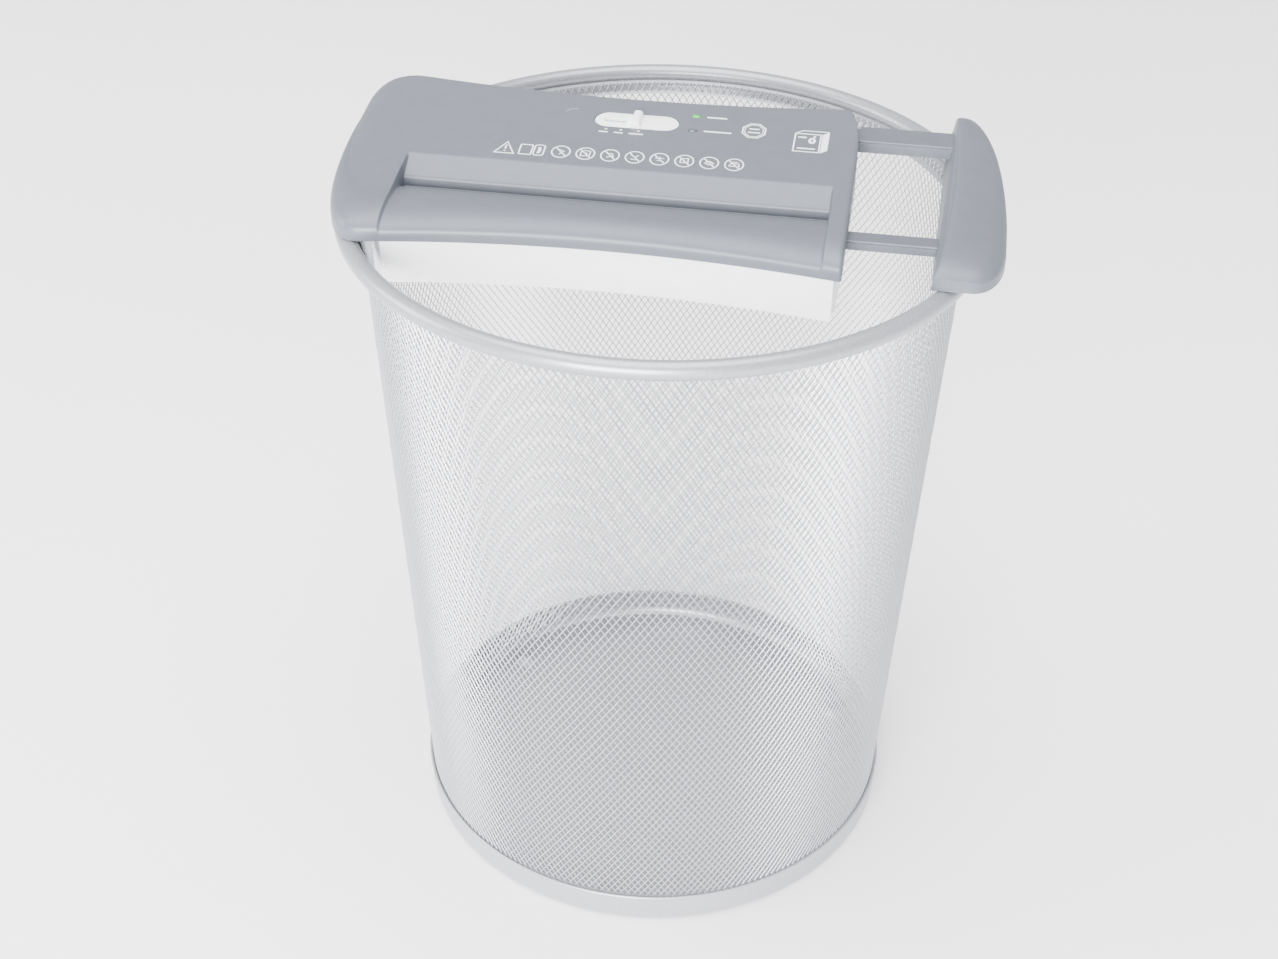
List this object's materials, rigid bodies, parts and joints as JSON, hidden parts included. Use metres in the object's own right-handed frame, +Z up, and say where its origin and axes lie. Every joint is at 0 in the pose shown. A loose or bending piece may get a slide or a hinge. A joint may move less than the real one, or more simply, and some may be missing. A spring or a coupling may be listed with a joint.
{
  "type": "paper shredder",
  "caption": "Strip-cut paper shredder: a bridge-shaped cutting head with a sliding extension arm, resting on a round wire-mesh waste basket.",
  "frame": {"origin": "centre of the basket's flat underside, on the floor", "axes": "+Z up; +X along the head towards its extension arm; -Y towards the user"},
  "size_m": [0.3587, 0.3538, 0.4397],
  "materials": {
    "silver_paint": "satin silver lacquer",
    "silver_wire": "satin silver lacquer over expanded steel mesh",
    "grey_abs": "fine satin moulded texture",
    "white_abs": "smooth satin moulding",
    "circuit_board": "solder mask",
    "black_plastic": "moulded",
    "green_lens": "clear moulding over a lamp",
    "smoked_lens": "clear moulding over a lamp",
    "steel": "turned and stamped",
    "acetal": "moulded",
    "bronze": "sintered",
    "rubber": "matte"
  },
  "bodies": {
    "basket": {"base_pan": "silver_paint", "mesh_wall": "silver_wire", "rim_tube": "silver_paint"},
    "head": {"top_cover": "grey_abs", "switch_track": "white_abs", "control_board": "circuit_board", "slide_switch": "black_plastic", "ready_lens": "green_lens", "warning_lens": "smoked_lens", "lower_housing": "white_abs", "seat_pad_1": "rubber", "seat_pad_2": "rubber", "cover_screw_1": "steel", "cover_screw_2": "steel", "cord_gland": "rubber", "paper_throat": "black_plastic", "sensor_pin": "steel", "sensor_switch": "black_plastic", "left_plate": "steel", "right_plate": "steel", "motor_screw_1": "steel", "motor_screw_2": "steel", "front_tie_rod": "steel", "rear_tie_rod": "steel", "front_left_bush": "bronze", "rear_left_bush": "bronze", "front_right_bush": "bronze", "rear_right_bush": "bronze", "front_stripper": "black_plastic", "rear_stripper": "black_plastic", "idler_axle": "steel", "motor_body": "steel"},
    "arm": {"end_cap": "grey_abs", "cap_base": "grey_abs", "front_rail": "grey_abs", "rear_rail": "grey_abs", "front_rail_screw_1": "steel", "rear_rail_screw_1": "steel", "rear_rail_screw_2": "steel", "arm_pad_1": "rubber", "arm_pad_2": "rubber"},
    "mode_slider": {"mode_slider": "white_abs"},
    "rear_drum": {"rear_cutter": "steel", "rear_sync_gear": "steel", "drive_gear": "acetal"},
    "front_drum": {"front_cutter": "steel", "front_sync_gear": "steel"},
    "idler": {"idler_gear": "acetal"},
    "motor_rotor": {"motor_pinion": "steel"},
    "paper_lever": {"sensor_lever": "acetal"}
  },
  "joints": [
    {"name": "head_lift", "type": "slide", "parent": "basket", "child": "head", "axis": [0, 0, 1], "range_m": [0, 0.12]},
    {"name": "arm_slide", "type": "slide", "parent": "head", "child": "arm", "axis": [1, 0, 0], "range_m": [-0.0435, 0.025]},
    {"name": "mode_slide", "type": "slide", "parent": "head", "child": "mode_slider", "axis": [1, 0, 0], "range_m": [-0.0165, 0]},
    {"name": "rear_drum_spin", "type": "hinge", "parent": "head", "child": "rear_drum", "pos_m": [-0.0225, -0.02, 0.394], "axis": [1, 0, 0], "continuous": true},
    {"name": "front_drum_spin", "type": "hinge", "parent": "head", "child": "front_drum", "pos_m": [-0.0225, -0.046, 0.394], "axis": [1, 0, 0], "continuous": true},
    {"name": "idler_spin", "type": "hinge", "parent": "head", "child": "idler", "pos_m": [-0.141, 0.00443, 0.38511], "axis": [1, 0, 0], "continuous": true},
    {"name": "motor_spin", "type": "hinge", "parent": "head", "child": "motor_rotor", "pos_m": [-0.139, 0.02671, 0.38824], "axis": [1, 0, 0], "continuous": true},
    {"name": "sensor_swing", "type": "hinge", "parent": "head", "child": "paper_lever", "pos_m": [-0.0155, -0.023, 0.4127], "axis": [1, 0, 0], "range_deg": [0, 35], "stiffness_Nm_per_rad": 0.0002, "springref_deg": -17.19}
  ],
  "couplings": [
    {"joint": "front_drum_spin", "follows": "rear_drum_spin", "ratio": -1},
    {"joint": "idler_spin", "follows": "rear_drum_spin", "ratio": -3.3333},
    {"joint": "motor_spin", "follows": "rear_drum_spin", "ratio": 13.333}
  ]
}
